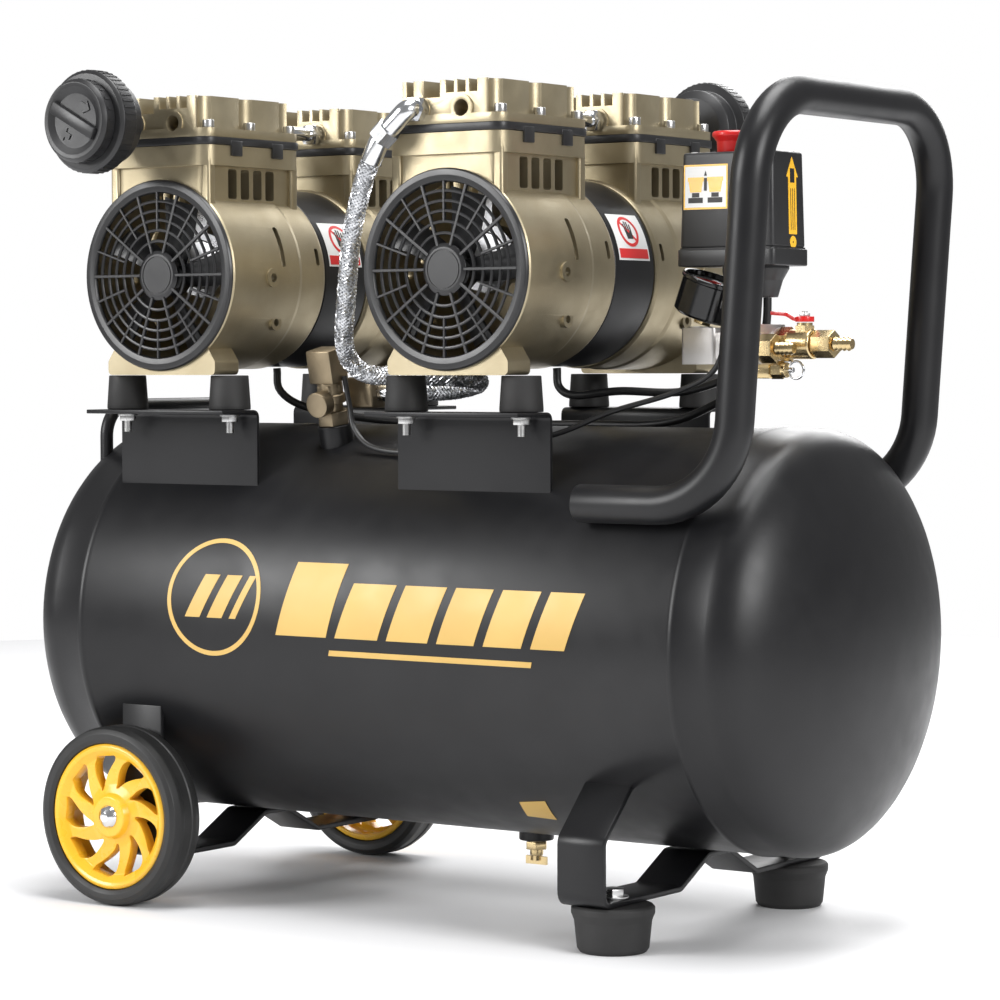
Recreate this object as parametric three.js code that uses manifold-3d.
// A portable oil-free air compressor: a horizontal receiver tank on two wheels and two rubber feet, two
// twin-cylinder pump units on rubber mounts above it, a push handle, and the pressure switch and fittings.
// Millimetres, +Z up. +X runs along the tank to the push handle, -Y is the operator's front side.
// The origin is on the ground, under the middle of the tank.
import * as THREE from "three";
import { mergeVertices } from "three/addons/utils/BufferGeometryUtils.js";
import Module from "manifold-3d";

const wasm = await Module();
wasm.setup();

// ---------------------------------------------------------------- sizes
const GAP = 0.3; // between pieces that touch
const RUN = 0.3; // radial clearance of a shaft in its bore
const ROUND = 12; // sides of a small round piece
const BIG_ROUND = 24; // sides of a large one

const TANK_R = 150;
const TANK_BODY_HALF = 263; // middle of the tank to the weld seam
const TANK_SKIRT = 26; // straight edge of a pressed end
const TANK_DISH = 59; // depth of a pressed end past its skirt
const TANK_WALL = 3;
const TANK_CLEARANCE = 58; // ground to the underside
const TANK_AXIS_Z = TANK_CLEARANCE + TANK_R;
const TANK_TOP = TANK_AXIS_Z + TANK_R;
const TANK_END_X = TANK_BODY_HALF + TANK_SKIRT + TANK_DISH;

const HANDLE_TUBE_R = 13.25;
const HANDLE_LEG_ANGLE = 37.7; // degrees up the side of the tank
const HANDLE_LEG_LENGTH = 120;
const HANDLE_FOOT_TO_SEAM = 34; // upright's foot past the weld seam
const HANDLE_RISE = 276.5; // leg to top run
const HANDLE_LEAN = 4.2; // degrees
const HANDLE_BEND_R = 62;

const LIFT_TUBE_R = 5;
const LIFT_PAST_SEAM = 37;
const LIFT_HALF = 77;
const LIFT_RISE = 14; // above the top of the tank
const LIFT_BEND_R = 24;

const STRAP_WIDTH = 38;
const STRAP_THICK = 4;
const FOOT_STRAP_TO_SEAM = 71;
const FOOT_OFFSET = 6; // foot's centre from the middle of its strap, along X
const FOOT_Y = 120;
const FOOT_HEIGHT = 33;
const FOOT_R = 25;
const FOOT_TOP_R = 29;
const FOOT_STRAP_Y = 150;
const FOOT_STRAP_RISE = 44; // height of the upright part
const FOOT_STRAP_IN = 34; // how far the top part leans in, at 45 degrees

const WHEEL_R = 67;
const WHEEL_WIDTH = 32;
const RIM_R = 54.5;
const WHEEL_TO_SEAM = 44;
const AXLE_STRAP_OFFSET = 6; // the strap's middle from the axle, along X
const AXLE_STRAP_Y = 136;
const AXLE_R = 6;
const AXLE_STRAP_TOP = 150; // above the ground, before the tank cuts it
const RIM_HOLES = 9;

const BRACKET_RISE = 12; // top of a mounting bracket above the tank
const BRACKET_HALF = 66.5;
const BRACKET_PLATE_Y = 105;
const BRACKET_DEPTH = 41.5;
const BRACKET_THICK = 3;
const MOUNT_X = 50;
const MOUNT_Y = 118;
const MOUNT_HEIGHT = 26;
const MOUNT_R = 15.5;
const MOUNT_TOP_R = 14;

const UNIT_LEFT_TO_SEAM = 71;
const UNIT_RIGHT_TO_SEAM = 192;
const UNIT_X_LEFT = UNIT_LEFT_TO_SEAM - TANK_BODY_HALF;
const UNIT_X_RIGHT = TANK_BODY_HALF - UNIT_RIGHT_TO_SEAM;
const CRANK_TO_BASE = 74;
const UNIT_AXIS_Z = TANK_TOP + BRACKET_RISE + MOUNT_HEIGHT + CRANK_TO_BASE;

const BARREL_R = 71;
const BARREL_WALL = 7;
const BARREL_FRONT = 138; // each end of a unit, from its middle
const BARREL_REAR = 27;
const BEARING_WALL_Y = 48;
const BEARING_WALL_THICK = 8;
const BASE_HALF = 52;
const BASE_DEPTH = 28;
const CYLINDER_Y = 85.5;
const CYLINDER_HALF_X = 46;
const CYLINDER_HALF_Y = 51;
const BORE_R = 33;
const DECK_HALF_X = 50;
const DECK_HALF_Y = 55.5;
const DECK_TOP = 95.5; // above the crankshaft
const DECK_THICK = 15;
const WINDOW_SLOT = 10;
const WINDOW_PITCH = 14.6;
const WINDOW_HEIGHT = 20;
const WINDOW_TO_DECK = 2;

const HEAD_PLATE_THICK = 10;
const HEAD_TOP = 132; // above the crankshaft
const HEAD_LEFT = 46;
const HEAD_RIGHT = 40;
const HEAD_INSET = 2;
const FIN_SLOT = 8;
const FIN_DEPTH = 8.6;
const PORT_A_X = -22; // outer port line, from the crankshaft
const PORT_B_X = 15; // inner port line
const PORT_Z = 112;
const PORT_R = 6;
const PORT_DEPTH = 16;
const PLUG_R = PORT_R - 0.8; // a stem or a tube standing in a port

const STATOR_R = 68.5;
const STATOR_BORE_R = 36;
const ROTOR_R = 34;
const ROTOR_HALF = 20;
const SHAFT_R = 8;
const THROW = 9; // crank radius
const ECCENTRIC_R = 18;
const ECCENTRIC_HALF = 6;
const ROD_WALL = 6;
const PISTON_REACH = 82; // eccentric's centre to the piston's crown
const PISTON_THICK = 10;

const FAN_R = 57;
const FAN_HUB_R = 15;
const FAN_Y = 125;
const FAN_CHORD = 20;
const FAN_BLADES = 5;
const FAN_PITCH = 35; // degrees

const GRILLE_THICK = 3.5;
const GRILLE_OPENING_R = 61;
const GRILLE_HUB_R = 18.5;
const GRILLE_SPOKES = 6;
const GRILLE_BAR = 2;

const FILTER_REACH = 210; // unit's middle to the filter's face
const FILTER_CAP_R = 30.5;
const FILTER_CAP_DEPTH = 14;
const FILTER_FLANGE_R = 37.5;
const FILTER_FLANGE_DEPTH = 8;
const FILTER_BODY_R = 31;
const FILTER_BODY_DEPTH = 34;
const FILTER_STEM_R = 9;

const HOSE_R = 6;

const CHECK_X = -88;
const CHECK_Y = -58;
const CHECK_TILT = 12; // degrees, leaning to the front
const BUNG_R = 13;
const BUNG_HEIGHT = 13;
const BUNG_BORE_R = 5;

const MANIFOLD_TO_SEAM = 41; // riser's centre from the weld seam
const MANIFOLD_RISE = 59; // manifold's centre above the tank
const MANIFOLD_HALF = 14;
const RISER_R = 10;
const SWITCH_WIDTH = 77;
const SWITCH_DEPTH = 46;
const SWITCH_HEIGHT = 68;
const SWITCH_SKIRT = 12;
const SWITCH_TO_MANIFOLD = 41; // manifold's top to the switch's skirt
const KNOB_R = 15;
const KNOB_HEIGHT = 15.5;
const GAUGE_R = 24;
const GAUGE_THICK = 29;
const GAUGE_TILT = 20; // degrees, towards the handle
const OUTLET_Y = 25; // the front outlet, from the tank's middle plane
const HEX_R = 9.8;
const BARB_R = 4.5;

const DRAIN_X = 52;
const CABLE_R = 3;
const UNLOADER_R = 2;

// ---------------------------------------------------------------- finishes
const finish = (color, roughness, metalness) => ({ color, roughness, metalness });
const BLACK_PAINT = finish(0x1c1d1f, 0.45, 0.3);
const BLACK_PLASTIC = finish(0x222326, 0.55, 0);
const RUBBER = finish(0x18181a, 0.85, 0);
const GOLD_CASTING = finish(0xb5a47c, 0.4, 0.6);
const YELLOW_PLASTIC = finish(0xe6ae2c, 0.4, 0);
const RED_PLASTIC = finish(0xc8201e, 0.4, 0);
const CHROME = finish(0xd8dadd, 0.15, 1);
const BRASS = finish(0xc9a352, 0.3, 1);
const STEEL = finish(0x9a9c9f, 0.4, 0.9);
const CAST_METAL = finish(0xc9c5c0, 0.5, 0.7);
const BRAID = finish(0xb9bcc0, 0.35, 0.9);

// ---------------------------------------------------------------- shape helpers
const radians = THREE.MathUtils.degToRad;
const at = (x, y, z) => new THREE.Vector3(x, y, z);
// A faceted bore that still clears its shaft at the middle of each of its flats.
const boreFor = (shaft, sides) => (shaft + RUN) / Math.cos(Math.PI / sides);

// A closed geometry as a manifold-3d solid, with its faces outwards whichever way it was drawn.
function solid(geometry) {
  const bare = geometry.index ? geometry.toNonIndexed() : geometry.clone();
  bare.deleteAttribute("normal");
  bare.deleteAttribute("uv");
  const merged = mergeVertices(bare, 1e-4);
  const triVerts = new Uint32Array(merged.index.array);
  const vertProperties = merged.attributes.position.array;
  const made = new wasm.Manifold(new wasm.Mesh({ numProp: 3, vertProperties, triVerts }));
  if (made.volume() >= 0) return made;
  for (let i = 0; i < triVerts.length; i += 3) {
    [triVerts[i + 1], triVerts[i + 2]] = [triVerts[i + 2], triVerts[i + 1]];
  }
  return new wasm.Manifold(new wasm.Mesh({ numProp: 3, vertProperties, triVerts }));
}

function geometryOf(made) {
  const { vertProperties, triVerts } = made.getMesh();
  const geometry = new THREE.BufferGeometry();
  geometry.setAttribute("position", new THREE.Float32BufferAttribute(vertProperties, 3));
  geometry.setIndex(new THREE.BufferAttribute(new Uint32Array(triVerts), 1));
  geometry.computeVertexNormals();
  return geometry;
}

const join = (first, ...rest) => rest.reduce((whole, piece) => whole.add(piece), first);
const cut = (first, ...tools) => tools.reduce((whole, tool) => whole.subtract(tool), first);

// A box between two corners.
function block(low, high) {
  const size = high.map((value, i) => value - low[i]);
  const middle = high.map((value, i) => (value + low[i]) / 2);
  return solid(new THREE.BoxGeometry(...size).translate(...middle));
}

// A round or, with sides = 6, a hexagonal bar from one point to another.
function bar(from, to, radius, sides = ROUND, endRadius = radius) {
  const along = to.clone().sub(from);
  const geometry = new THREE.CylinderGeometry(endRadius, radius, along.length(), sides);
  const turn = new THREE.Quaternion().setFromUnitVectors(at(0, 1, 0), along.normalize());
  geometry.applyQuaternion(turn);
  const middle = from.clone().add(to).multiplyScalar(0.5);
  return solid(geometry.translate(middle.x, middle.y, middle.z));
}

// A turned shape from [radius, height] points; axis says which way the height runs.
function turned(profile, sides = ROUND, axis = "z") {
  const points = profile.map(([r, h]) => new THREE.Vector2(r, h));
  const geometry = new THREE.LatheGeometry(points, sides);
  if (axis === "z") geometry.rotateX(Math.PI / 2);
  if (axis === "x") geometry.rotateZ(-Math.PI / 2);
  return solid(geometry);
}

// A path that passes through every one of its points, in order.
class Route extends THREE.Curve {
  constructor(points) {
    super();
    this.points = points;
  }
  getSpacedPoints() {
    return this.points;
  }
  getTangentAt(u, target = new THREE.Vector3()) {
    const last = this.points.length - 1;
    const i = Math.round(u * last);
    const before = this.points[Math.max(i - 1, 0)];
    const after = this.points[Math.min(i + 1, last)];
    return target.copy(after).sub(before).normalize();
  }
}

function tube(points, radius, sides) {
  const section = new THREE.Shape();
  for (let i = 0; i < sides; i += 1) {
    const angle = (2 * Math.PI * i) / sides;
    const place = [radius * Math.cos(angle), radius * Math.sin(angle)];
    if (i === 0) section.moveTo(...place);
    else section.lineTo(...place);
  }
  const options = { steps: points.length - 1, extrudePath: new Route(points) };
  return solid(new THREE.ExtrudeGeometry(section, options));
}

// The corners of a bent tube, each rounded to the bend radius.
function rounded(corners, radius, steps = 5) {
  const points = [corners[0]];
  for (let i = 1; i < corners.length - 1; i += 1) {
    const back = corners[i - 1].clone().sub(corners[i]).normalize();
    const ahead = corners[i + 1].clone().sub(corners[i]).normalize();
    const half = back.angleTo(ahead) / 2;
    const centre = back.clone().add(ahead).normalize();
    centre.multiplyScalar(radius / Math.sin(half)).add(corners[i]);
    const reach = radius / Math.tan(half);
    const start = corners[i].clone().addScaledVector(back, reach).sub(centre);
    const axis = back.clone().cross(ahead).normalize();
    const sweep = -(Math.PI - 2 * half);
    for (let s = 0; s <= steps; s += 1) {
      points.push(start.clone().applyAxisAngle(axis, (sweep * s) / steps).add(centre));
    }
  }
  points.push(corners[corners.length - 1]);
  return points;
}

// A smooth run through chosen points.
const smooth = (points, steps) => new THREE.CatmullRomCurve3(points).getSpacedPoints(steps);

// An outline in Y and Z, given as points, extruded along X between two places.
function alongX(outline, from, to) {
  const shape = new THREE.Shape(outline.map(([y, z]) => new THREE.Vector2(y, z)));
  const geometry = new THREE.ExtrudeGeometry(shape, { depth: to - from, bevelEnabled: false });
  geometry.rotateX(Math.PI / 2).rotateZ(Math.PI / 2);
  return solid(geometry.translate(from, 0, 0));
}

// The outline of a bent strip: its middle line, with half the thickness either side.
function strip(line, thick) {
  const points = line.map(([y, z]) => new THREE.Vector2(y, z));
  const normals = points.slice(1).map((p, i) => {
    const d = p.clone().sub(points[i]).normalize();
    return new THREE.Vector2(-d.y, d.x);
  });
  const side = (sign) => points.map((p, i) => {
    const a = normals[Math.max(i - 1, 0)];
    const b = normals[Math.min(i, normals.length - 1)];
    const mean = a.clone().add(b).normalize();
    const reach = (sign * thick) / 2 / mean.dot(a);
    return [p.x + mean.x * reach, p.y + mean.y * reach];
  });
  return [...side(1), ...side(-1).reverse()];
}

// ---------------------------------------------------------------- the model
const compressor = new THREE.Group();

function add(parent, name, made, look) {
  const mesh = new THREE.Mesh(geometryOf(made), new THREE.MeshStandardMaterial(look));
  mesh.name = name;
  parent.add(mesh);
  return mesh;
}

// ---- tank
function tankProfile(radius, skirt, dish, steps) {
  const half = [];
  for (let i = 0; i <= steps; i += 1) {
    const angle = (Math.PI / 2) * (i / steps);
    half.push([radius * Math.sin(angle), TANK_BODY_HALF + skirt + dish * Math.cos(angle)]);
  }
  const other = half.map(([r, x]) => [r, -x]).reverse();
  return [...half, ...other];
}
const tankShape = (grow, sides, steps) =>
  turned(tankProfile(TANK_R + grow, TANK_SKIRT, TANK_DISH + grow, steps), sides, "x")
    .translate(0, 0, TANK_AXIS_Z);
// The space that nothing welded to the tank may enter.
const TANK_SPACE = tankShape(GAP, 32, 4);

const checkTurn = [CHECK_TILT, 0, 0];
const checkBase = TANK_AXIS_Z + Math.sqrt(TANK_R ** 2 - CHECK_Y ** 2);
const toCheck = (made) => made.rotate(checkTurn).translate(CHECK_X, CHECK_Y, checkBase);
const manifoldX = TANK_BODY_HALF - MANIFOLD_TO_SEAM;
const RISER_FOOT = TANK_TOP + BUNG_HEIGHT;
const DRAIN_FOOT = TANK_CLEARANCE - BUNG_HEIGHT / 2;

function makeTank() {
  const shell = tankShape(0, 32, 4);
  const inner = tankShape(-TANK_WALL, 16, 3);
  const sink = 10;
  const bungs = [
    toCheck(bar(at(0, 0, -sink), at(0, 0, BUNG_HEIGHT), BUNG_R)),
    bar(at(manifoldX, 0, TANK_TOP - sink), at(manifoldX, 0, RISER_FOOT), BUNG_R),
    bar(at(DRAIN_X, 0, TANK_CLEARANCE + sink), at(DRAIN_X, 0, DRAIN_FOOT), BUNG_R),
  ];
  const bores = [
    toCheck(bar(at(0, 0, -3 * sink), at(0, 0, BUNG_HEIGHT + 1), BUNG_BORE_R)),
    bar(at(manifoldX, 0, TANK_TOP - 3 * sink), at(manifoldX, 0, RISER_FOOT + 1), BUNG_BORE_R),
    bar(at(DRAIN_X, 0, TANK_CLEARANCE + 3 * sink), at(DRAIN_X, 0, DRAIN_FOOT - 1), BUNG_BORE_R),
  ];
  return cut(join(shell, ...bungs), inner, ...bores);
}
add(compressor, "tank", makeTank(), BLACK_PAINT);

// ---- straps, feet and wheels
const strapFloor = FOOT_HEIGHT + STRAP_THICK / 2;
const strapCrown = TANK_CLEARANCE - STRAP_THICK / 2 - 1;

// The line of a strap: up both sides of the tank, in along the bottom, and up to touch under its middle.
function strapLine(side) {
  const half = [...side, [52, strapFloor], [14, strapCrown]];
  return [...half.map(([y, z]) => [-y, z]), ...half.reverse()];
}

const footX = TANK_BODY_HALF - FOOT_STRAP_TO_SEAM + FOOT_OFFSET;
const footStrapX = TANK_BODY_HALF - FOOT_STRAP_TO_SEAM;
const footStrapSide = [
  [FOOT_STRAP_Y - FOOT_STRAP_IN - 6, strapFloor + FOOT_STRAP_RISE + FOOT_STRAP_IN + 6],
  [FOOT_STRAP_Y, strapFloor + FOOT_STRAP_RISE],
  [FOOT_STRAP_Y, strapFloor],
];
const footStrap = cut(
  alongX(
    strip(strapLine(footStrapSide), STRAP_THICK),
    footStrapX - STRAP_WIDTH / 2,
    footStrapX + STRAP_WIDTH / 2,
  ),
  TANK_SPACE,
);
add(compressor, "foot_strap", footStrap, BLACK_PAINT);

const wheelX = WHEEL_TO_SEAM - TANK_BODY_HALF;
const axleStrapX = wheelX + AXLE_STRAP_OFFSET;
const axleStrapSide = [
  [AXLE_STRAP_Y, AXLE_STRAP_TOP],
  [AXLE_STRAP_Y, strapFloor],
];
const axleStrap = cut(
  alongX(
    strip(strapLine(axleStrapSide), STRAP_THICK),
    axleStrapX - STRAP_WIDTH / 2,
    axleStrapX + STRAP_WIDTH / 2,
  ),
  bar(at(wheelX, -2 * AXLE_STRAP_Y, WHEEL_R), at(wheelX, 2 * AXLE_STRAP_Y, WHEEL_R), AXLE_R + RUN),
  TANK_SPACE,
);
add(compressor, "axle_strap", axleStrap, BLACK_PAINT);

function makeFoot() {
  return turned([
    [0, 0],
    [FOOT_R - 2, 0],
    [FOOT_R, 3],
    [FOOT_TOP_R, FOOT_HEIGHT - GAP - 1],
    [FOOT_TOP_R - 1, FOOT_HEIGHT - GAP],
    [0, FOOT_HEIGHT - GAP],
  ], 20);
}

// A wheel is made with its outer face towards -Y and its middle plane at y = 0.
function makeTyre() {
  const half = WHEEL_WIDTH / 2;
  return turned([
    [RIM_R + GAP, -half + 1],
    [WHEEL_R - 6, -half],
    [WHEEL_R - 1.5, -half + 3],
    [WHEEL_R, -half + 8],
    [WHEEL_R, half - 8],
    [WHEEL_R - 1.5, half - 3],
    [WHEEL_R - 6, half],
    [RIM_R + GAP, half - 1],
    [RIM_R + GAP, -half + 1],
  ], 32, "y");
}

const hubEnd = AXLE_STRAP_Y - STRAP_THICK / 2 + STRAP_THICK + GAP; // the strap's outer face, and a gap
const wheelY = AXLE_STRAP_Y + STRAP_THICK / 2 + 2 + WHEEL_WIDTH / 2;

function makeRim() {
  const half = WHEEL_WIDTH / 2;
  const bore = boreFor(AXLE_R, 24);
  const hubR = 14;
  const rimWall = 5;
  const rim = turned([
    [bore, -half + 2],
    [hubR, -half + 2],
    [hubR + 8, -half + 6],
    [RIM_R - rimWall, -half + 4],
    [RIM_R - rimWall, -half + 1.5],
    [RIM_R, -half + 1.5],
    [RIM_R, half - 1.5],
    [RIM_R - rimWall, half - 1.5],
    [RIM_R - rimWall, -half + 14],
    [hubR, -half + 14],
    [hubR, wheelY - hubEnd],
    [bore, wheelY - hubEnd],
    [bore, -half + 2],
  ], 24, "y");
  const holes = [];
  for (let i = 0; i < RIM_HOLES; i += 1) {
    const angle = (2 * Math.PI * i) / RIM_HOLES;
    const reach = (hubR + RIM_R) / 2 + 2;
    const [x, z] = [reach * Math.cos(angle), reach * Math.sin(angle)];
    holes.push(bar(at(x, -half, z), at(x, half, z), 6.5, 6));
  }
  return cut(rim, ...holes);
}

// The bolt's head is outside the hub, and its nut is behind the strap.
function makeAxleBolt() {
  const face = -WHEEL_WIDTH / 2 + 2 - GAP;
  const strapBack = wheelY - AXLE_STRAP_Y + STRAP_THICK / 2 + GAP;
  const head = turned([
    [0, face - 5],
    [5, face - 4.2],
    [8.5, face - 1.5],
    [8.5, face],
    [0, face],
  ], ROUND, "y");
  const shank = bar(at(0, face - 1, 0), at(0, strapBack + 8, 0), AXLE_R);
  const nut = bar(at(0, strapBack, 0), at(0, strapBack + 7, 0), 10, 6);
  return join(head, shank, nut);
}

for (const [side, name] of [[-1, "front"], [1, "rear"]]) {
  const foot = add(compressor, `rubber_foot_${name}`, makeFoot(), RUBBER);
  foot.position.set(footX, side * FOOT_Y, 0);
  const wheel = new THREE.Group();
  wheel.position.set(wheelX, side * wheelY, WHEEL_R);
  wheel.rotation.z = side < 0 ? 0 : Math.PI;
  add(wheel, `tyre_${name}`, makeTyre(), RUBBER);
  add(wheel, `rim_${name}`, makeRim(), YELLOW_PLASTIC);
  add(wheel, `axle_bolt_${name}`, makeAxleBolt(), CHROME);
  compressor.add(wheel);
}

// ---- handles
const legReach = TANK_R + HANDLE_TUBE_R + GAP + 0.2;
const handleY = legReach * Math.cos(radians(HANDLE_LEG_ANGLE));
const legZ = TANK_AXIS_Z + legReach * Math.sin(radians(HANDLE_LEG_ANGLE));
const uprightX = TANK_BODY_HALF + HANDLE_FOOT_TO_SEAM;
const topRunX = uprightX + HANDLE_RISE * Math.tan(radians(HANDLE_LEAN));
const handleCorners = [
  at(uprightX - HANDLE_LEG_LENGTH, -handleY, legZ),
  at(uprightX, -handleY, legZ),
  at(topRunX, -handleY, legZ + HANDLE_RISE),
  at(topRunX, handleY, legZ + HANDLE_RISE),
  at(uprightX, handleY, legZ),
  at(uprightX - HANDLE_LEG_LENGTH, handleY, legZ),
];
add(compressor, "push_handle", tube(rounded(handleCorners, HANDLE_BEND_R), HANDLE_TUBE_R, 10), BLACK_PAINT);

const liftX = -TANK_BODY_HALF - LIFT_PAST_SEAM;
const liftTop = TANK_TOP + LIFT_RISE;
const liftCorners = [
  at(liftX, -LIFT_HALF, TANK_AXIS_Z + TANK_R / 2),
  at(liftX, -LIFT_HALF, liftTop),
  at(liftX, LIFT_HALF, liftTop),
  at(liftX, LIFT_HALF, TANK_AXIS_Z + TANK_R / 2),
];
// The legs are drawn into the tank and cut off at its surface.
const liftHandle = cut(tube(rounded(liftCorners, LIFT_BEND_R, 4), LIFT_TUBE_R, 8), TANK_SPACE);
add(compressor, "lift_handle", liftHandle, BLACK_PAINT);

// ---- brackets with their rubber mounts, made for the front side
const bracketTop = TANK_TOP + BRACKET_RISE;
function makeBracket() {
  const half = BRACKET_THICK / 2;
  const bend = 4;
  const line = [
    [-BRACKET_PLATE_Y, TANK_AXIS_Z + TANK_R / 2],
    [-BRACKET_PLATE_Y, bracketTop - half - bend],
    [-BRACKET_PLATE_Y - bend, bracketTop - half],
    [-BRACKET_PLATE_Y - BRACKET_DEPTH, bracketTop - half],
  ];
  const plate = cut(alongX(strip(line, BRACKET_THICK), -BRACKET_HALF, BRACKET_HALF), TANK_SPACE);
  const mounts = [-1, 1].map((side) => {
    const x = side * MOUNT_X;
    const rubberTop = bracketTop + MOUNT_HEIGHT - GAP;
    const underside = bracketTop - BRACKET_THICK;
    return join(
      bar(at(x, -MOUNT_Y, bracketTop - 1), at(x, -MOUNT_Y, rubberTop), MOUNT_R, ROUND, MOUNT_TOP_R),
      bar(at(x, -MOUNT_Y, underside + 1), at(x, -MOUNT_Y, underside - 6), 6.5, 6),
      bar(at(x, -MOUNT_Y, underside), at(x, -MOUNT_Y, underside - 14), 3, 10),
    );
  });
  return join(plate, ...mounts);
}
for (const [x, where] of [[UNIT_X_LEFT, "left"], [UNIT_X_RIGHT, "right"]]) {
  for (const [turn, side] of [[0, "front"], [Math.PI, "rear"]]) {
    const bracket = add(compressor, `pump_bracket_${where}_${side}`, makeBracket(), BLACK_PAINT);
    bracket.position.x = x;
    bracket.rotation.z = turn;
  }
}

// ---- pump units, each made around its crankshaft, with y = 0 at the middle of its motor
function makeCrankcase() {
  const front = -BARREL_FRONT;
  const deckLow = DECK_TOP - DECK_THICK;
  const cylinder = (grow, low, high) => block(
    [-CYLINDER_HALF_X - grow, -CYLINDER_Y - CYLINDER_HALF_Y - grow, low],
    [CYLINDER_HALF_X + grow, -CYLINDER_Y + CYLINDER_HALF_Y + grow, high],
  );
  const deck = block(
    [-DECK_HALF_X, -CYLINDER_Y - DECK_HALF_Y, deckLow],
    [DECK_HALF_X, -CYLINDER_Y + DECK_HALF_Y, DECK_TOP],
  );
  const base = block([-BASE_HALF, front, -CRANK_TO_BASE], [BASE_HALF, front + BASE_DEPTH, -BARREL_R / 3]);
  const feet = [-1, 1].map((side) =>
    bar(at(side * MOUNT_X, -MOUNT_Y, -CRANK_TO_BASE), at(side * MOUNT_X, -MOUNT_Y, -CRANK_TO_BASE + 9), 11, 8));
  const body = join(
    bar(at(0, front, 0), at(0, -BARREL_REAR, 0), BARREL_R, BIG_ROUND),
    cylinder(0, BARREL_R / 3, deckLow + 1),
    deck,
    base,
    ...feet,
  );
  const inside = BARREL_R - BARREL_WALL;
  const wall = -BEARING_WALL_Y;
  const hollows = [
    bar(at(0, front - 1, 0), at(0, wall, 0), inside, 16),
    bar(at(0, wall + BEARING_WALL_THICK, 0), at(0, 0, 0), inside, 16),
    bar(at(0, wall - 1, 0), at(0, 0, 0), boreFor(SHAFT_R, 8), 8),
    bar(at(0, -CYLINDER_Y, inside / 2), at(0, -CYLINDER_Y, DECK_TOP + 1), BORE_R, 16),
  ];
  const windowTop = deckLow - WINDOW_TO_DECK;
  const openings = [-1.5, -0.5, 0.5, 1.5].map((i) => {
    const y = -CYLINDER_Y + i * WINDOW_PITCH;
    return block(
      [-2 * CYLINDER_HALF_X, y - WINDOW_SLOT / 2, windowTop - WINDOW_HEIGHT],
      [2 * CYLINDER_HALF_X, y + WINDOW_SLOT / 2, windowTop],
    );
  });
  // A long and a short cooling slot through each side of the barrel.
  const slots = [
    block([-2 * BARREL_R, -81.5, 6], [2 * BARREL_R, -76.5, 36]),
    block([-2 * BARREL_R, -38, 8], [2 * BARREL_R, -34, 21]),
  ];
  return cut(body, ...hollows, ...openings, ...slots);
}

// A head is made over its own cylinder, with its plain side towards +X.
function makeHead() {
  const low = DECK_TOP + GAP;
  const plateTop = low + HEAD_PLATE_THICK;
  const face = DECK_HALF_Y - HEAD_INSET;
  const plate = block([-DECK_HALF_X, -DECK_HALF_Y, low], [DECK_HALF_X, DECK_HALF_Y, plateTop]);
  const box = block([-HEAD_LEFT, -face, plateTop - 1], [HEAD_RIGHT, face, HEAD_TOP]);
  const groove = ([x, width]) => block(
    [x - width / 2, -DECK_HALF_Y, HEAD_TOP - FIN_DEPTH],
    [x + width / 2, DECK_HALF_Y, HEAD_TOP + 1],
  );
  const grooves = [[-37, FIN_SLOT], [-11, 2 * FIN_SLOT], [3, FIN_SLOT], [14, FIN_SLOT], [25, FIN_SLOT]];
  const ports = [PORT_A_X, PORT_B_X].flatMap((x) => [-1, 1].map((end) =>
    bar(at(x, end * (face + 1), PORT_Z), at(x, end * (face - PORT_DEPTH), PORT_Z), PORT_R, 8)));
  return cut(join(plate, box), ...grooves.map(groove), ...ports);
}

function makeGrille() {
  const [back, front] = [-BARREL_FRONT - GAP, -BARREL_FRONT - GRILLE_THICK];
  const disc = (r, sides) => bar(at(0, front, 0), at(0, back, 0), r, sides);
  const opening = bar(at(0, front - 1, 0), at(0, back + 1, 0), GRILLE_OPENING_R, BIG_ROUND);
  const spokes = [];
  for (let i = 0; i < GRILLE_SPOKES; i += 1) {
    const spoke = block(
      [0, front + 0.5, -GRILLE_BAR / 2],
      [GRILLE_OPENING_R + 3, back - 0.5, GRILLE_BAR / 2],
    );
    spokes.push(spoke.rotate([0, (360 * (i + 0.5)) / GRILLE_SPOKES, 0]));
  }
  return join(cut(disc(BARREL_R, BIG_ROUND), opening), disc(GRILLE_HUB_R, ROUND), ...spokes);
}

function makeStator() {
  const half = BARREL_REAR - GAP;
  return turned([
    [STATOR_BORE_R, -half],
    [STATOR_R, -half],
    [STATOR_R, half],
    [STATOR_BORE_R, half],
    [STATOR_BORE_R, -half],
  ], BIG_ROUND, "y");
}

function makeFan(side) {
  const y = side * FAN_Y;
  const hub = bar(at(0, y - 7, 0), at(0, y + 7, 0), FAN_HUB_R);
  const blades = [];
  for (let i = 0; i < FAN_BLADES; i += 1) {
    const blade = block([FAN_HUB_R - 4, -FAN_CHORD / 2, -1.2], [FAN_R, FAN_CHORD / 2, 1.2]);
    const pitched = blade.rotate([90 - FAN_PITCH * side, 0, 0]).rotate([0, (360 * i) / FAN_BLADES, 0]);
    blades.push(pitched.translate(0, y, 0));
  }
  return join(hub, ...blades);
}

// Shaft, rotor core, both eccentrics half a turn apart, and a fan on each end.
function makeRotor() {
  const eccentric = (side) => bar(
    at(0, side * CYLINDER_Y - ECCENTRIC_HALF, -side * THROW),
    at(0, side * CYLINDER_Y + ECCENTRIC_HALF, -side * THROW),
    ECCENTRIC_R,
  );
  return join(
    bar(at(0, -FAN_Y - 9, 0), at(0, FAN_Y + 9, 0), SHAFT_R, 8),
    bar(at(0, -ROTOR_HALF, 0), at(0, ROTOR_HALF, 0), ROTOR_R, 16),
    eccentric(-1),
    eccentric(1),
    makeFan(-1),
    makeFan(1),
  );
}

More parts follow.
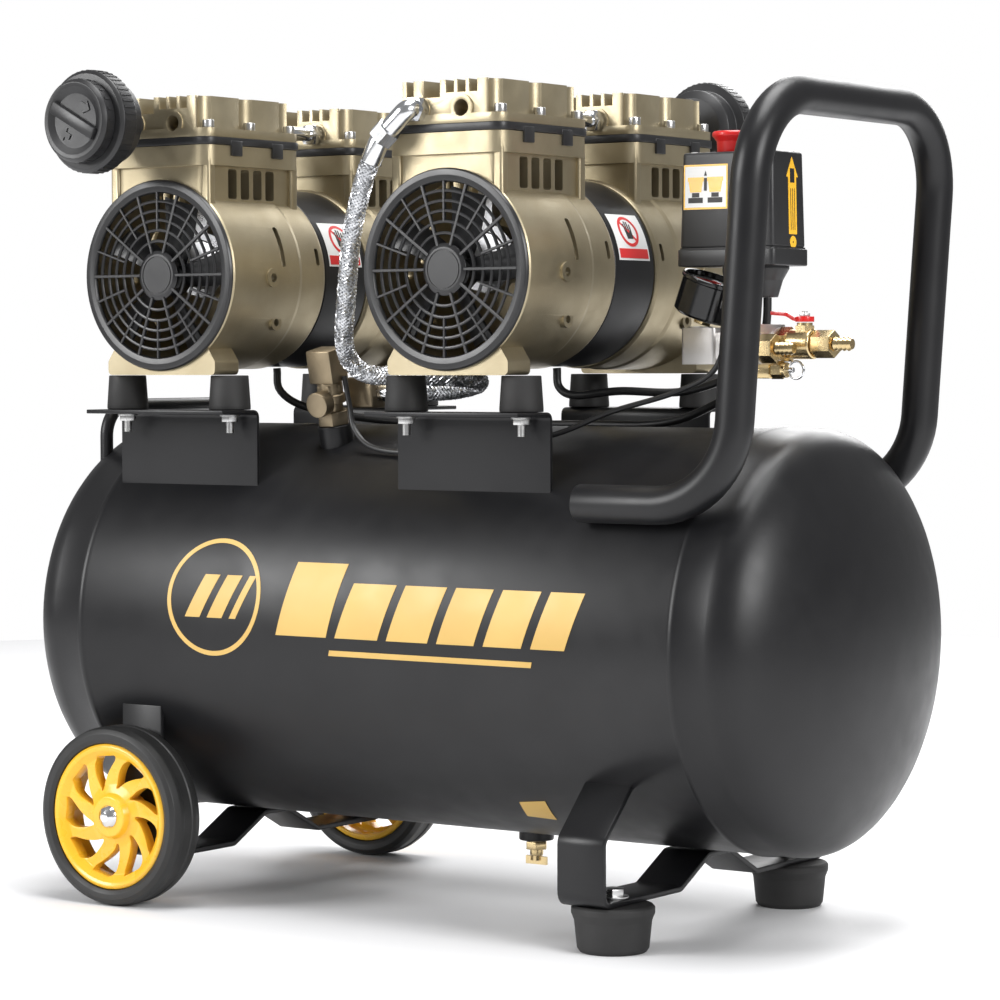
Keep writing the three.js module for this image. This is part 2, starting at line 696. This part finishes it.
// A connecting rod and its piston in one piece, standing on its eccentric.
function makeRod() {
  const bore = boreFor(ECCENTRIC_R, ROUND);
  const half = ECCENTRIC_HALF - 1;
  const outer = bar(at(0, -half, 0), at(0, half, 0), bore + ROD_WALL);
  const shank = block([-6, -half, bore], [6, half, PISTON_REACH - PISTON_THICK + 1]);
  const crown = bar(
    at(0, 0, PISTON_REACH - PISTON_THICK),
    at(0, 0, PISTON_REACH),
    BORE_R - THROW - 1,
  );
  const hole = bar(at(0, -half - 1, 0), at(0, half + 1, 0), bore);
  return cut(join(outer, shank, crown), hole);
}

function makeFilterBody(face) {
  const flange = FILTER_REACH - FILTER_CAP_DEPTH;
  const body = flange - FILTER_FLANGE_DEPTH;
  const back = body - FILTER_BODY_DEPTH;
  return turned([
    [0, face - PORT_DEPTH + 4],
    [PLUG_R, face - PORT_DEPTH + 4],
    [PLUG_R, face + HEAD_INSET + GAP],
    [FILTER_STEM_R, face + HEAD_INSET + GAP],
    [FILTER_STEM_R, back],
    [FILTER_BODY_R - 3, back],
    [FILTER_BODY_R, back + 3],
    [FILTER_BODY_R, body],
    [FILTER_FLANGE_R, body],
    [FILTER_FLANGE_R, flange - GAP],
    [0, flange - GAP],
  ], 24, "y");
}

function makeFilterCap() {
  const back = FILTER_REACH - FILTER_CAP_DEPTH;
  const cap = turned([
    [0, back],
    [FILTER_CAP_R, back],
    [FILTER_CAP_R, FILTER_REACH - 3],
    [FILTER_CAP_R - 2.5, FILTER_REACH - 1],
    [0, FILTER_REACH - 1],
  ], 24, "y");
  const rib = block([-FILTER_CAP_R + 5, FILTER_REACH - 2, -2.5], [FILTER_CAP_R - 5, FILTER_REACH, 2.5]);
  return join(cap, rib);
}

const headFace = CYLINDER_Y + DECK_HALF_Y - HEAD_INSET;
for (const [x, where] of [[UNIT_X_LEFT, "left"], [UNIT_X_RIGHT, "right"]]) {
  const unit = new THREE.Group();
  unit.position.set(x, 0, UNIT_AXIS_Z);
  for (const [end, turn, side] of [["front", 0, -1], ["rear", Math.PI, 1]]) {
    const crankcase = add(unit, `crankcase_${where}_${end}`, makeCrankcase(), GOLD_CASTING);
    crankcase.rotation.z = turn;
    const head = add(unit, `head_${where}_${end}`, makeHead(), GOLD_CASTING);
    head.position.y = side * CYLINDER_Y;
    const grille = add(unit, `fan_grille_${where}_${end}`, makeGrille(), BLACK_PLASTIC);
    grille.rotation.z = turn;
    const rod = add(unit, `piston_rod_${where}_${end}`, makeRod(), STEEL);
    rod.position.set(0, side * CYLINDER_Y, -side * THROW);
  }
  add(unit, `stator_${where}`, makeStator(), BLACK_PAINT);
  add(unit, `rotor_${where}`, makeRotor(), STEEL);
  const tubeEnd = CYLINDER_Y - DECK_HALF_Y + HEAD_INSET + PORT_DEPTH - 4;
  for (const [px, name] of [[PORT_A_X, "outer"], [PORT_B_X, "inner"]]) {
    const link = bar(at(px, -tubeEnd, PORT_Z), at(px, tubeEnd, PORT_Z), PLUG_R, 8);
    add(unit, `${name}_link_${where}`, link, CHROME);
  }
  // The left unit breathes at its front head and the right one at its rear head.
  const filter = new THREE.Group();
  filter.position.set(where === "left" ? PORT_A_X : PORT_B_X, 0, PORT_Z);
  filter.rotation.z = where === "left" ? Math.PI : 0;
  add(filter, `filter_body_${where}`, makeFilterBody(headFace), BLACK_PLASTIC);
  add(filter, `filter_cap_${where}`, makeFilterCap(), BLACK_PLASTIC);
  unit.add(filter);
  compressor.add(unit);
}

// ---- check valve with its tee block
const TEE_LOW = [-84, -52, TANK_TOP + 13];
const TEE_HIGH = [-60, -28, TANK_TOP + 36];
const teeZ = (TEE_LOW[2] + TEE_HIGH[2]) / 2;
function makeCheckValve() {
  const foot = BUNG_HEIGHT + GAP;
  const column = join(
    bar(at(0, 0, foot), at(0, 0, foot + 10), 11, 6),
    bar(at(0, 0, foot), at(0, 0, foot + 16), 8),
    bar(at(0, 0, foot + 15), at(0, 0, foot + 23), 10.5),
    bar(at(0, 0, foot + 22), at(0, 0, foot + 33), 9.5),
    block([-11, -10, foot + 32], [11, 10, foot + 57]),
    bar(at(-5, 0, foot + 18), at(-5, -15, foot + 18), 5),
    bar(at(-5, -14, foot + 18), at(-5, -19, foot + 18), 11),
  );
  const tee = block(TEE_LOW, TEE_HIGH);
  const nipple = bar(at(CHECK_X + 3, CHECK_Y - 6, teeZ + 10), at(-76, -42, teeZ + 4), 5);
  return join(toCheck(column), tee, nipple);
}
add(compressor, "check_valve", makeCheckValve(), BRASS);

// ---- braided discharge hoses, each with its elbow
const portZ = UNIT_AXIS_Z + PORT_Z;
function makeHose(x, side, route) {
  const port = at(x, side * (headFace + HEAD_INSET + GAP), portZ);
  const inside = at(x, side * (headFace - PORT_DEPTH + 4), portZ);
  const knee = at(x, side * (headFace + 14), portZ);
  const nutEnd = route[0];
  const ferrule = route[1];
  const toNut = nutEnd.clone().sub(knee).normalize();
  const nutStart = nutEnd.clone().addScaledVector(toNut, -12);
  return join(
    bar(inside, knee, PLUG_R, 8),
    bar(port, knee, 8.5, 8),
    bar(knee.clone().addScaledVector(toNut, -4), nutStart, 7.5, 8),
    bar(nutStart.clone().addScaledVector(toNut, -1), nutEnd, 10, 6),
    bar(nutEnd, ferrule, 7.6, 8),
    tube([nutEnd, ...smooth(route.slice(1), 18)], HOSE_R, 8),
  );
}
const hoseRight = [
  at(UNIT_X_RIGHT - 45, -154, portZ - 20),
  at(UNIT_X_RIGHT - 55, -153, portZ - 36),
  at(UNIT_X_RIGHT - 64, -150, portZ - 52),
  at(UNIT_X_RIGHT - 83, -138, portZ - 86),
  at(UNIT_X_RIGHT - 101, -121, portZ - 128),
  at(UNIT_X_RIGHT - 115, -106, portZ - 157),
  at(UNIT_X_RIGHT - 121, -93, portZ - 174),
  at(UNIT_X_RIGHT - 112, -85, portZ - 185),
  at(UNIT_X_RIGHT - 93, -79, portZ - 187),
  at(UNIT_X_RIGHT - 66, -74, portZ - 187),
  at(UNIT_X_RIGHT - 46, -62, portZ - 188),
  at(UNIT_X_RIGHT - 40, -44, portZ - 190),
  at(UNIT_X_RIGHT - 52, -30, portZ - 194),
  at(UNIT_X_RIGHT - 75, -28, portZ - 198),
  at(-34, -38, teeZ),
  at(TEE_HIGH[0] + 12, -40, teeZ),
  at(TEE_HIGH[0] + GAP, -40, teeZ),
];
const hoseLeft = [
  at(UNIT_X_LEFT + 45, 154, portZ - 20),
  at(UNIT_X_LEFT + 55, 153, portZ - 36),
  at(UNIT_X_LEFT + 64, 150, portZ - 52),
  at(UNIT_X_LEFT + 83, 138, portZ - 86),
  at(UNIT_X_LEFT + 101, 121, portZ - 128),
  at(UNIT_X_LEFT + 112, 100, portZ - 157),
  at(UNIT_X_LEFT + 117, 76, portZ - 180),
  at(UNIT_X_LEFT + 120, 40, portZ - 196),
  at(-72, 2, teeZ),
  at(-72, TEE_HIGH[1] + 12, teeZ),
  at(-72, TEE_HIGH[1] + GAP, teeZ),
];
add(compressor, "discharge_hose_right", makeHose(UNIT_X_RIGHT + PORT_A_X, -1, hoseRight), BRAID);
add(compressor, "discharge_hose_left", makeHose(UNIT_X_LEFT + PORT_B_X, 1, hoseLeft), BRAID);

// ---- manifold, made around its riser, with z = 0 at its own middle
const manifold = new THREE.Group();
manifold.position.set(manifoldX, 0, TANK_TOP + MANIFOLD_RISE);
compressor.add(manifold);
const half = MANIFOLD_HALF;
const HEADER_X = [14, 36]; // the header block along X
const SWITCH_STEM_X = 26;
const VALVE_X = 58; // ball valve's spindle
const GAUGE_FOOT_X = -25;
const SAFETY_Y = -5;
const SAFETY_Z = -18;
const LEVER_Z = 16;
const valveR = 10;

function barb(x, y) {
  const pitch = 4.5;
  const rings = [0, 1, 2].map((i) =>
    bar(at(x + i * pitch, y, 0), at(x + (i + 1) * pitch, y, 0), BARB_R, 8, BARB_R - 1));
  return join(...rings, bar(at(x - 1, y, 0), at(x + 3 * pitch + 0.5, y, 0), BARB_R - 1.5, 8));
}

function makeManifold() {
  const low = -MANIFOLD_RISE + BUNG_HEIGHT + GAP;
  const frontOutlet = join(
    bar(at(HEADER_X[1] - 1, -OUTLET_Y, -3), at(HEADER_X[1] + 2, -OUTLET_Y, -3), 7.5, 8),
    bar(at(HEADER_X[1] + 1, -OUTLET_Y, -3), at(HEADER_X[1] + 14, -OUTLET_Y, -3), HEX_R, 6),
    barb(HEADER_X[1] + 14, -OUTLET_Y).translate(0, 0, -3),
  );
  const ballValve = join(
    bar(at(HEADER_X[1] - 1, 0, 0), at(VALVE_X - 6, 0, 0), 8, 8),
    bar(at(HEADER_X[1] + 2, 0, 0), at(VALVE_X + 8, 0, 0), valveR, 12),
    bar(at(VALVE_X, 0, 0), at(VALVE_X, 0, LEVER_Z - 1), 5.5, 8),
    bar(at(VALVE_X + 9, 0, 0), at(VALVE_X + 24, 0, 0), HEX_R, 6),
    bar(at(VALVE_X + 7, 0, 0), at(VALVE_X + 10, 0, 0), 7, 8),
    barb(VALVE_X + 24, 0),
  );
  const safetyBody = join(
    block([HEADER_X[0], SAFETY_Y - 7, SAFETY_Z - 6], [HEADER_X[1], SAFETY_Y + 7, 1 - half]),
    bar(at(HEADER_X[1] - 1, SAFETY_Y, SAFETY_Z), at(HEADER_X[1] + 13, SAFETY_Y, SAFETY_Z), 5.5, 12),
  );
  const boss = bar(at(0, 0, -6), at(0, 0, 3), 9, 12).rotate([0, GAUGE_TILT, 0]);
  const body = join(
    block([-36, -13, -half], [-8, 13, half - 2]),
    block([-36, -11, -half + 3], [HEADER_X[0] + 1, 11, half - 5]),
    block([HEADER_X[0], -OUTLET_Y - 9, -half], [HEADER_X[1], 13, half]),
    bar(at(0, 0, low), at(0, 0, 0), RISER_R, 12),
    bar(at(0, 0, low), at(0, 0, low + 10), BUNG_R, 6),
    boss.translate(GAUGE_FOOT_X, -4, half - 2),
    frontOutlet,
    ballValve,
    safetyBody,
  );
  const spindle = bar(
    at(HEADER_X[1], SAFETY_Y, SAFETY_Z),
    at(HEADER_X[1] + 14, SAFETY_Y, SAFETY_Z),
    boreFor(2, 12),
    12,
  );
  return cut(body, spindle);
}
add(manifold, "manifold", makeManifold(), CAST_METAL);

// A flat lever with its hub on the ball valve's spindle, lying back over the valve.
function makeLever() {
  const hub = bar(at(0, 0, 0), at(0, 0, 4), 6.5, 16);
  const nut = bar(at(0, 0, 3), at(0, 0, 8), 4.5, 6);
  const neck = block([-14, -4, 0.5], [0, 4, 3]);
  const grip = block([-25, -5, 2], [-12, 5, 4.5]);
  return join(hub, nut, neck, grip);
}
const lever = add(manifold, "valve_lever", makeLever(), RED_PLASTIC);
lever.position.set(VALVE_X, 0, LEVER_Z - 1 + GAP);

// The safety valve's pull ring on its pin.
function makePullRing() {
  const ringR = 6.4;
  const points = [];
  for (let i = 0; i <= 10; i += 1) {
    const angle = (2 * Math.PI * i) / 11;
    points.push(at(0, ringR * Math.sin(angle), ringR * Math.cos(angle) - ringR));
  }
  const pin = bar(at(-10, 0, 0), at(3, 0, 0), 2, 12);
  return join(pin, tube(points, 0.9, 6).translate(1.5, 0, 0));
}
const pullRing = add(manifold, "safety_ring", makePullRing(), CHROME);
pullRing.position.set(HEADER_X[1] + 13 + GAP, SAFETY_Y, SAFETY_Z);

// ---- gauge, leaning towards the handle
const gauge = new THREE.Group();
gauge.position.set(GAUGE_FOOT_X, -4, half - 2);
gauge.rotation.y = radians(GAUGE_TILT);
manifold.add(gauge);
const dialZ = 8 + GAUGE_THICK - 4;
const gaugeBody = join(
  bar(at(0, 0, 3 + GAP), at(0, 0, 9), 6, 6),
  turned([
    [0, 8],
    [GAUGE_R - 1.5, 8],
    [GAUGE_R, 10],
    [GAUGE_R, 8 + GAUGE_THICK],
    [GAUGE_R - 2, 8 + GAUGE_THICK],
    [GAUGE_R - 2, dialZ],
    [0, dialZ],
  ], 24),
);
add(gauge, "gauge", gaugeBody, BLACK_PLASTIC);
const needle = join(
  bar(at(0, 0, 0), at(0, 0, 2), 2, 12),
  block([-1, -5, 0.5], [1, GAUGE_R - 7, 1.5]),
);
const needleMesh = add(gauge, "gauge_needle", needle, BLACK_PLASTIC);
needleMesh.position.z = dialZ + GAP;
needleMesh.rotation.z = radians(135);

// ---- pressure switch, standing on the manifold's header
const switchMiddleX = 7.5; // the box's middle from the riser
const switchFoot = half + SWITCH_TO_MANIFOLD;
const knobX = 0;
function makeSwitch() {
  const wide = SWITCH_WIDTH / 2;
  const deep = SWITCH_DEPTH / 2;
  const skirtTop = switchFoot + SWITCH_SKIRT;
  const taper = 1.5;
  const outline = [
    [-deep, skirtTop - 1],
    [deep, skirtTop - 1],
    [deep - taper, skirtTop + SWITCH_HEIGHT],
    [taper - deep, skirtTop + SWITCH_HEIGHT],
  ];
  return cut(
    join(
      alongX(outline, switchMiddleX - wide, switchMiddleX + wide),
      block(
        [switchMiddleX - wide - 1.5, -deep - 1.5, switchFoot],
        [switchMiddleX + wide + 1.5, deep + 1.5, skirtTop],
      ),
      bar(at(SWITCH_STEM_X, 0, switchFoot - 22), at(SWITCH_STEM_X, 0, switchFoot + 1), 9, 12, 17),
      bar(at(SWITCH_STEM_X, 0, half + GAP), at(SWITCH_STEM_X, 0, switchFoot - 20), 5, 8),
    ),
    bar(
      at(knobX, 0, skirtTop + SWITCH_HEIGHT - 14),
      at(knobX, 0, skirtTop + SWITCH_HEIGHT + 1),
      boreFor(4, 16),
      16,
    ),
  );
}
add(manifold, "pressure_switch", makeSwitch(), BLACK_PLASTIC);

const knob = turned([
  [0, -12],
  [4, -12],
  [4, 0],
  [KNOB_R - 2, 0],
  [KNOB_R - 1.5, KNOB_HEIGHT - 4],
  [KNOB_R, KNOB_HEIGHT - 3],
  [KNOB_R, KNOB_HEIGHT - 0.5],
  [0, KNOB_HEIGHT - 0.5],
], ROUND);
const knobMesh = add(manifold, "switch_knob", knob, RED_PLASTIC);
knobMesh.position.set(knobX, 0, switchFoot + SWITCH_SKIRT + SWITCH_HEIGHT + GAP);

// ---- drain valve under the tank, with its winged tap
const drainTop = DRAIN_FOOT - GAP;
const drainBody = join(
  bar(at(0, 0, -1), at(0, 0, 0), 8, 16),
  bar(at(0, 0, -7), at(0, 0, -0.5), 8, 6),
  bar(at(0, 0, -11), at(0, 0, -6), 4, 12),
);
const drain = new THREE.Group();
drain.position.set(DRAIN_X, 0, drainTop);
compressor.add(drain);
add(drain, "drain_valve", drainBody, BRASS);
const wing = join(
  bar(at(0, 0, -15), at(0, 0, -11 - GAP), 4.5, 12),
  block([-9, -1.2, -18], [9, 1.2, -12]),
);
add(drain, "drain_wing", wing, BRASS);

// ---- wiring and the unloader tube, made in the machine's own frame
const switchUnder = TANK_TOP + MANIFOLD_RISE + switchFoot - GAP;
const tankRest = (y, lift) => TANK_AXIS_Z + Math.sqrt(TANK_R ** 2 - y ** 2) + lift;
const motorUnder = UNIT_AXIS_Z - STATOR_R - 1;
const cableLeft = [
  at(manifoldX + 15, 21, switchUnder),
  at(manifoldX + 14, 22, switchUnder - 40),
  at(manifoldX + 2, 25, switchUnder - 76),
  at(manifoldX - 34, 28, switchUnder - 98),
  at(manifoldX - 80, 30, tankRest(30, CABLE_R + 2)),
  at(manifoldX - 160, 34, tankRest(34, CABLE_R + 1.5)),
  at(manifoldX - 250, 36, tankRest(36, CABLE_R + 1.5)),
  at(manifoldX - 330, 30, tankRest(30, CABLE_R + 2)),
  at(UNIT_X_LEFT + 24, 12, tankRest(14, 12)),
  at(UNIT_X_LEFT + 3, 1, motorUnder - 18),
  at(UNIT_X_LEFT, 0, motorUnder),
];
const cableRight = [
  at(manifoldX + 6, 21, switchUnder),
  at(manifoldX + 5, 22, switchUnder - 40),
  at(manifoldX - 8, 22, switchUnder - 72),
  at(manifoldX - 50, 16, switchUnder - 88),
  at(manifoldX - 100, 6, switchUnder - 88),
  at(UNIT_X_RIGHT + 16, 1, motorUnder - 20),
  at(UNIT_X_RIGHT + 2, 0, motorUnder - 14),
  at(UNIT_X_RIGHT, 0, motorUnder),
];
const unloader = [
  at(manifoldX + 9, -21, switchUnder),
  at(manifoldX + 8, -22, switchUnder - 40),
  at(manifoldX - 2, -22, switchUnder - 72),
  at(manifoldX - 30, -28, switchUnder - 88),
  at(manifoldX - 75, -44, tankRest(44, 18)),
  at(manifoldX - 110, -58, tankRest(58, 8)),
  at(manifoldX - 150, -70, tankRest(70, UNLOADER_R + 2)),
  at(manifoldX - 220, -78, tankRest(78, UNLOADER_R + 1.5)),
  at(manifoldX - 262, -76, tankRest(76, UNLOADER_R + 3)),
  at(-62, -70, tankRest(70, 14)),
  at(-70, -66, tankRest(66, 30)),
  at(-75, -66, tankRest(66, 52)),
];
add(compressor, "motor_cable_left", tube(smooth(cableLeft, 22), CABLE_R, 6), RUBBER);
add(compressor, "motor_cable_right", tube(smooth(cableRight, 16), CABLE_R, 6), RUBBER);
add(compressor, "unloader_tube", tube(smooth(unloader, 24), UNLOADER_R, 6), RUBBER);

export default compressor;
